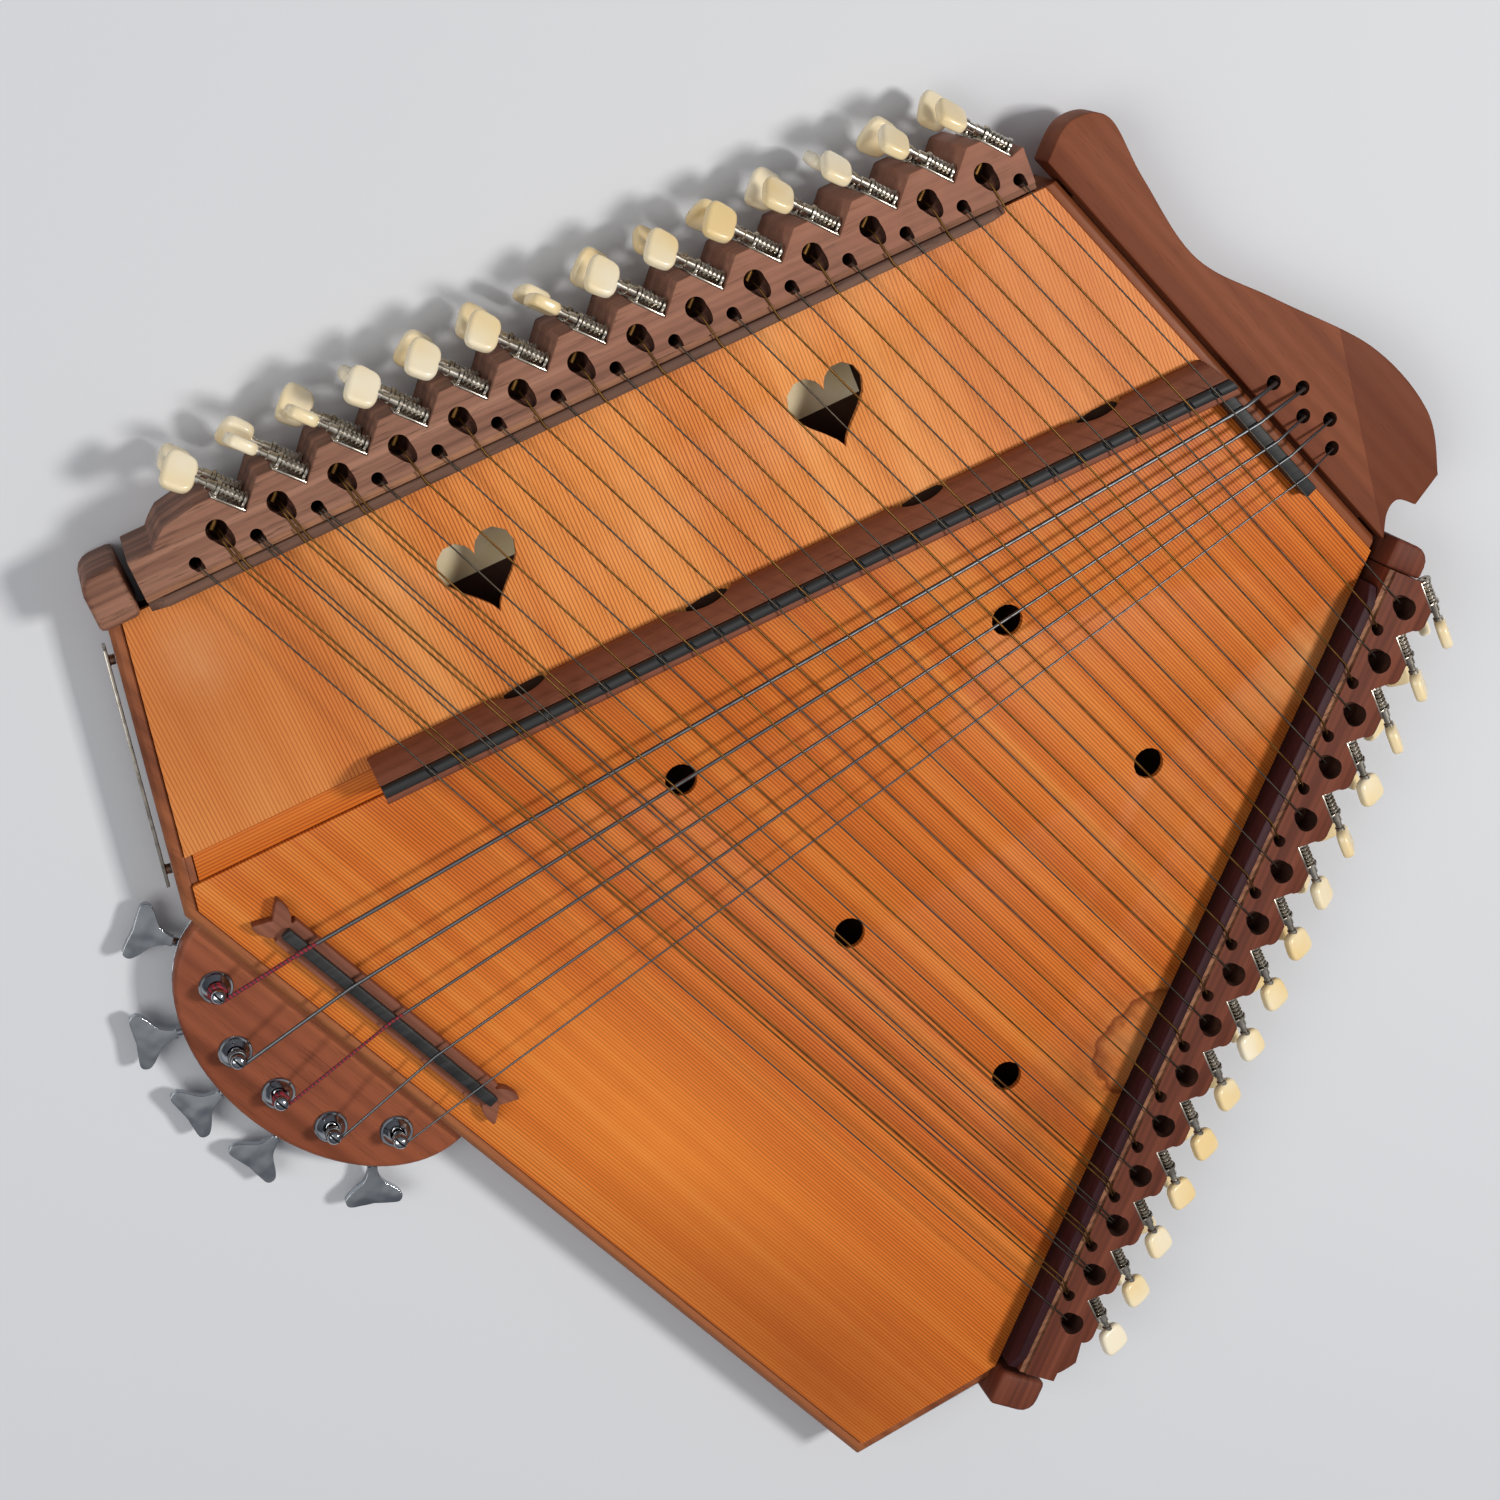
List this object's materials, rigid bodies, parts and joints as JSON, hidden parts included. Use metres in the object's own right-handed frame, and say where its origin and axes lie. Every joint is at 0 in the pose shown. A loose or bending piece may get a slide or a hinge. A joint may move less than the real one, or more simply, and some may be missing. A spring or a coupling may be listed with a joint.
{
  "type": "hammered dulcimer",
  "caption": "Trapezoid string instrument with toothed pin rails, geared tuners, a long treble bridge and a separate bass string bank on a half-round tuning head.",
  "frame": {"origin": "on the flat back face, at the middle of the body between the two pin rails", "axes": "+X along the treble strings towards the right rail, +Y away from the player, +Z out of the soundboards"},
  "size_m": [0.8268, 0.7989, 0.0739],
  "materials": {
    "cedar": "satin",
    "rosewood": "oiled",
    "mahogany": "satin",
    "ebony": "satin",
    "cream_plastic": "gloss",
    "nickel": "satin",
    "chrome": "polished",
    "plywood": "satin"
  },
  "bodies": {
    "body": {"back_panel": "plywood", "back_rim": "mahogany", "bass_bridge": "mahogany", "bass_head": "mahogany", "bass_nut": "ebony", "bass_saddle": "ebony", "cross_brace": "cedar", "front_rim": "mahogany", "left_front_block": "rosewood", "left_nut": "rosewood", "left_pin_rail": "rosewood", "left_soundboard": "cedar", "right_back_block": "rosewood", "right_front_block": "rosewood", "right_nut": "ebony", "right_pin_rail": "rosewood", "right_soundboard": "cedar", "side_plate": "nickel", "treble_bridge": "mahogany", "treble_saddle": "ebony", "wing_plate": "mahogany"},
    "bass_key_1": {"bass_key_1": "chrome"},
    "bass_key_2": {"bass_key_2": "chrome"},
    "bass_key_3": {"bass_key_3": "chrome"},
    "bass_key_4": {"bass_key_4": "chrome"},
    "bass_key_5": {"bass_key_5": "chrome"},
    "bass_post_1": {"bass_post_1": "chrome"},
    "bass_post_2": {"bass_post_2": "chrome"},
    "bass_post_3": {"bass_post_3": "chrome"},
    "bass_post_4": {"bass_post_4": "chrome"},
    "bass_post_5": {"bass_post_5": "chrome"},
    "left_tuner_knob_01": {"left_tuner_knob_01": "cream_plastic"},
    "left_tuner_knob_02": {"left_tuner_knob_02": "cream_plastic"},
    "left_tuner_knob_03": {"left_tuner_knob_03": "cream_plastic"},
    "left_tuner_knob_04": {"left_tuner_knob_04": "cream_plastic"},
    "left_tuner_knob_05": {"left_tuner_knob_05": "cream_plastic"},
    "left_tuner_knob_06": {"left_tuner_knob_06": "cream_plastic"},
    "left_tuner_knob_07": {"left_tuner_knob_07": "cream_plastic"},
    "left_tuner_knob_08": {"left_tuner_knob_08": "cream_plastic"},
    "left_tuner_knob_09": {"left_tuner_knob_09": "cream_plastic"},
    "left_tuner_knob_10": {"left_tuner_knob_10": "cream_plastic"},
    "left_tuner_knob_11": {"left_tuner_knob_11": "cream_plastic"},
    "left_tuner_knob_12": {"left_tuner_knob_12": "cream_plastic"},
    "left_tuner_knob_13": {"left_tuner_knob_13": "cream_plastic"},
    "left_tuner_knob_14": {"left_tuner_knob_14": "cream_plastic"},
    "right_tuner_knob_01": {"right_tuner_knob_01": "cream_plastic"},
    "right_tuner_knob_02": {"right_tuner_knob_02": "cream_plastic"},
    "right_tuner_knob_03": {"right_tuner_knob_03": "cream_plastic"},
    "right_tuner_knob_04": {"right_tuner_knob_04": "cream_plastic"},
    "right_tuner_knob_05": {"right_tuner_knob_05": "cream_plastic"},
    "right_tuner_knob_06": {"right_tuner_knob_06": "cream_plastic"},
    "right_tuner_knob_07": {"right_tuner_knob_07": "cream_plastic"},
    "right_tuner_knob_08": {"right_tuner_knob_08": "cream_plastic"},
    "right_tuner_knob_09": {"right_tuner_knob_09": "cream_plastic"},
    "right_tuner_knob_10": {"right_tuner_knob_10": "cream_plastic"},
    "right_tuner_knob_11": {"right_tuner_knob_11": "cream_plastic"},
    "right_tuner_knob_12": {"right_tuner_knob_12": "cream_plastic"},
    "right_tuner_knob_13": {"right_tuner_knob_13": "cream_plastic"},
    "right_tuner_knob_14": {"right_tuner_knob_14": "cream_plastic"},
    "right_tuner_knob_15": {"right_tuner_knob_15": "cream_plastic"}
  },
  "joints": [
    {"name": "left_tuner_01_turn", "type": "hinge", "parent": "body", "child": "left_tuner_knob_01", "pos_m": [-0.37485, -0.12065, 0.055], "axis": [-0.9449, -0.3273, 0], "continuous": true},
    {"name": "left_tuner_02_turn", "type": "hinge", "parent": "body", "child": "left_tuner_knob_02", "pos_m": [-0.36165, -0.08823, 0.055], "axis": [-0.9449, -0.3273, 0], "continuous": true},
    {"name": "left_tuner_03_turn", "type": "hinge", "parent": "body", "child": "left_tuner_knob_03", "pos_m": [-0.34845, -0.05582, 0.055], "axis": [-0.9449, -0.3273, 0], "continuous": true},
    {"name": "left_tuner_04_turn", "type": "hinge", "parent": "body", "child": "left_tuner_knob_04", "pos_m": [-0.33525, -0.0234, 0.055], "axis": [-0.9449, -0.3273, 0], "continuous": true},
    {"name": "left_tuner_05_turn", "type": "hinge", "parent": "body", "child": "left_tuner_knob_05", "pos_m": [-0.32204, 0.00901, 0.055], "axis": [-0.9449, -0.3273, 0], "continuous": true},
    {"name": "left_tuner_06_turn", "type": "hinge", "parent": "body", "child": "left_tuner_knob_06", "pos_m": [-0.30884, 0.04143, 0.055], "axis": [-0.9449, -0.3273, 0], "continuous": true},
    {"name": "left_tuner_07_turn", "type": "hinge", "parent": "body", "child": "left_tuner_knob_07", "pos_m": [-0.29564, 0.07384, 0.055], "axis": [-0.9449, -0.3273, 0], "continuous": true},
    {"name": "left_tuner_08_turn", "type": "hinge", "parent": "body", "child": "left_tuner_knob_08", "pos_m": [-0.28244, 0.10626, 0.055], "axis": [-0.9449, -0.3273, 0], "continuous": true},
    {"name": "left_tuner_09_turn", "type": "hinge", "parent": "body", "child": "left_tuner_knob_09", "pos_m": [-0.26924, 0.13867, 0.055], "axis": [-0.9449, -0.3273, 0], "continuous": true},
    {"name": "left_tuner_10_turn", "type": "hinge", "parent": "body", "child": "left_tuner_knob_10", "pos_m": [-0.25604, 0.17109, 0.055], "axis": [-0.9449, -0.3273, 0], "continuous": true},
    {"name": "left_tuner_11_turn", "type": "hinge", "parent": "body", "child": "left_tuner_knob_11", "pos_m": [-0.24283, 0.2035, 0.055], "axis": [-0.9449, -0.3273, 0], "continuous": true},
    {"name": "left_tuner_12_turn", "type": "hinge", "parent": "body", "child": "left_tuner_knob_12", "pos_m": [-0.22963, 0.23592, 0.055], "axis": [-0.9449, -0.3273, 0], "continuous": true},
    {"name": "left_tuner_13_turn", "type": "hinge", "parent": "body", "child": "left_tuner_knob_13", "pos_m": [-0.21643, 0.26833, 0.055], "axis": [-0.9449, -0.3273, 0], "continuous": true},
    {"name": "left_tuner_14_turn", "type": "hinge", "parent": "body", "child": "left_tuner_knob_14", "pos_m": [-0.20323, 0.30075, 0.055], "axis": [-0.9449, -0.3273, 0], "continuous": true},
    {"name": "right_tuner_01_turn", "type": "hinge", "parent": "body", "child": "right_tuner_knob_01", "pos_m": [0.37485, -0.1411, 0.055], "axis": [0.9449, -0.3273, 0], "continuous": true},
    {"name": "right_tuner_02_turn", "type": "hinge", "parent": "body", "child": "right_tuner_knob_02", "pos_m": [0.36165, -0.10868, 0.055], "axis": [0.9449, -0.3273, 0], "continuous": true},
    {"name": "right_tuner_03_turn", "type": "hinge", "parent": "body", "child": "right_tuner_knob_03", "pos_m": [0.34845, -0.07627, 0.055], "axis": [0.9449, -0.3273, 0], "continuous": true},
    {"name": "right_tuner_04_turn", "type": "hinge", "parent": "body", "child": "right_tuner_knob_04", "pos_m": [0.33525, -0.04385, 0.055], "axis": [0.9449, -0.3273, 0], "continuous": true},
    {"name": "right_tuner_05_turn", "type": "hinge", "parent": "body", "child": "right_tuner_knob_05", "pos_m": [0.32204, -0.01144, 0.055], "axis": [0.9449, -0.3273, 0], "continuous": true},
    {"name": "right_tuner_06_turn", "type": "hinge", "parent": "body", "child": "right_tuner_knob_06", "pos_m": [0.30884, 0.02098, 0.055], "axis": [0.9449, -0.3273, 0], "continuous": true},
    {"name": "right_tuner_07_turn", "type": "hinge", "parent": "body", "child": "right_tuner_knob_07", "pos_m": [0.29564, 0.05339, 0.055], "axis": [0.9449, -0.3273, 0], "continuous": true},
    {"name": "right_tuner_08_turn", "type": "hinge", "parent": "body", "child": "right_tuner_knob_08", "pos_m": [0.28244, 0.08581, 0.055], "axis": [0.9449, -0.3273, 0], "continuous": true},
    {"name": "right_tuner_09_turn", "type": "hinge", "parent": "body", "child": "right_tuner_knob_09", "pos_m": [0.26924, 0.11822, 0.055], "axis": [0.9449, -0.3273, 0], "continuous": true},
    {"name": "right_tuner_10_turn", "type": "hinge", "parent": "body", "child": "right_tuner_knob_10", "pos_m": [0.25604, 0.15064, 0.055], "axis": [0.9449, -0.3273, 0], "continuous": true},
    {"name": "right_tuner_11_turn", "type": "hinge", "parent": "body", "child": "right_tuner_knob_11", "pos_m": [0.24283, 0.18305, 0.055], "axis": [0.9449, -0.3273, 0], "continuous": true},
    {"name": "right_tuner_12_turn", "type": "hinge", "parent": "body", "child": "right_tuner_knob_12", "pos_m": [0.22963, 0.21547, 0.055], "axis": [0.9449, -0.3273, 0], "continuous": true},
    {"name": "right_tuner_13_turn", "type": "hinge", "parent": "body", "child": "right_tuner_knob_13", "pos_m": [0.21643, 0.24788, 0.055], "axis": [0.9449, -0.3273, 0], "continuous": true},
    {"name": "right_tuner_14_turn", "type": "hinge", "parent": "body", "child": "right_tuner_knob_14", "pos_m": [0.20323, 0.28029, 0.055], "axis": [0.9449, -0.3273, 0], "continuous": true},
    {"name": "right_tuner_15_turn", "type": "hinge", "parent": "body", "child": "right_tuner_knob_15", "pos_m": [0.19003, 0.31271, 0.055], "axis": [0.9449, -0.3273, 0], "continuous": true},
    {"name": "bass_key_1_turn", "type": "hinge", "parent": "body", "child": "bass_key_1", "pos_m": [-0.18984, -0.32396, 0.012], "axis": [-0.9272, -0.3746, 0], "continuous": true},
    {"name": "bass_key_2_turn", "type": "hinge", "parent": "body", "child": "bass_key_2", "pos_m": [-0.16074, -0.35058, 0.012], "axis": [-0.5736, -0.8192, 0], "continuous": true},
    {"name": "bass_key_3_turn", "type": "hinge", "parent": "body", "child": "bass_key_3", "pos_m": [-0.12655, -0.35857, 0.012], "axis": [-0.225, -0.9744, 0], "continuous": true},
    {"name": "bass_key_4_turn", "type": "hinge", "parent": "body", "child": "bass_key_4", "pos_m": [-0.08913, -0.35812, 0.012], "axis": [0, -1, 0], "continuous": true},
    {"name": "bass_key_5_turn", "type": "hinge", "parent": "body", "child": "bass_key_5", "pos_m": [-0.05337, -0.34576, 0.012], "axis": [0.7193, -0.6947, 0], "continuous": true},
    {"name": "bass_post_1_turn", "type": "hinge", "parent": "body", "child": "bass_post_1", "pos_m": [-0.18501, -0.33593, 0.03], "axis": [0, 0, 1], "continuous": true},
    {"name": "bass_post_2_turn", "type": "hinge", "parent": "body", "child": "bass_post_2", "pos_m": [-0.15017, -0.35798, 0.03], "axis": [0, 0, 1], "continuous": true},
    {"name": "bass_post_3_turn", "type": "hinge", "parent": "body", "child": "bass_post_3", "pos_m": [-0.11398, -0.36148, 0.03], "axis": [0, 0, 1], "continuous": true},
    {"name": "bass_post_4_turn", "type": "hinge", "parent": "body", "child": "bass_post_4", "pos_m": [-0.07623, -0.35812, 0.03], "axis": [0, 0, 1], "continuous": true},
    {"name": "bass_post_5_turn", "type": "hinge", "parent": "body", "child": "bass_post_5", "pos_m": [-0.0444, -0.33649, 0.03], "axis": [0, 0, 1], "continuous": true}
  ],
  "couplings": [
    {"joint": "bass_post_1_turn", "follows": "bass_key_1_turn", "ratio": 0.05},
    {"joint": "bass_post_2_turn", "follows": "bass_key_2_turn", "ratio": 0.05},
    {"joint": "bass_post_3_turn", "follows": "bass_key_3_turn", "ratio": 0.05},
    {"joint": "bass_post_4_turn", "follows": "bass_key_4_turn", "ratio": 0.05},
    {"joint": "bass_post_5_turn", "follows": "bass_key_5_turn", "ratio": 0.05}
  ]
}
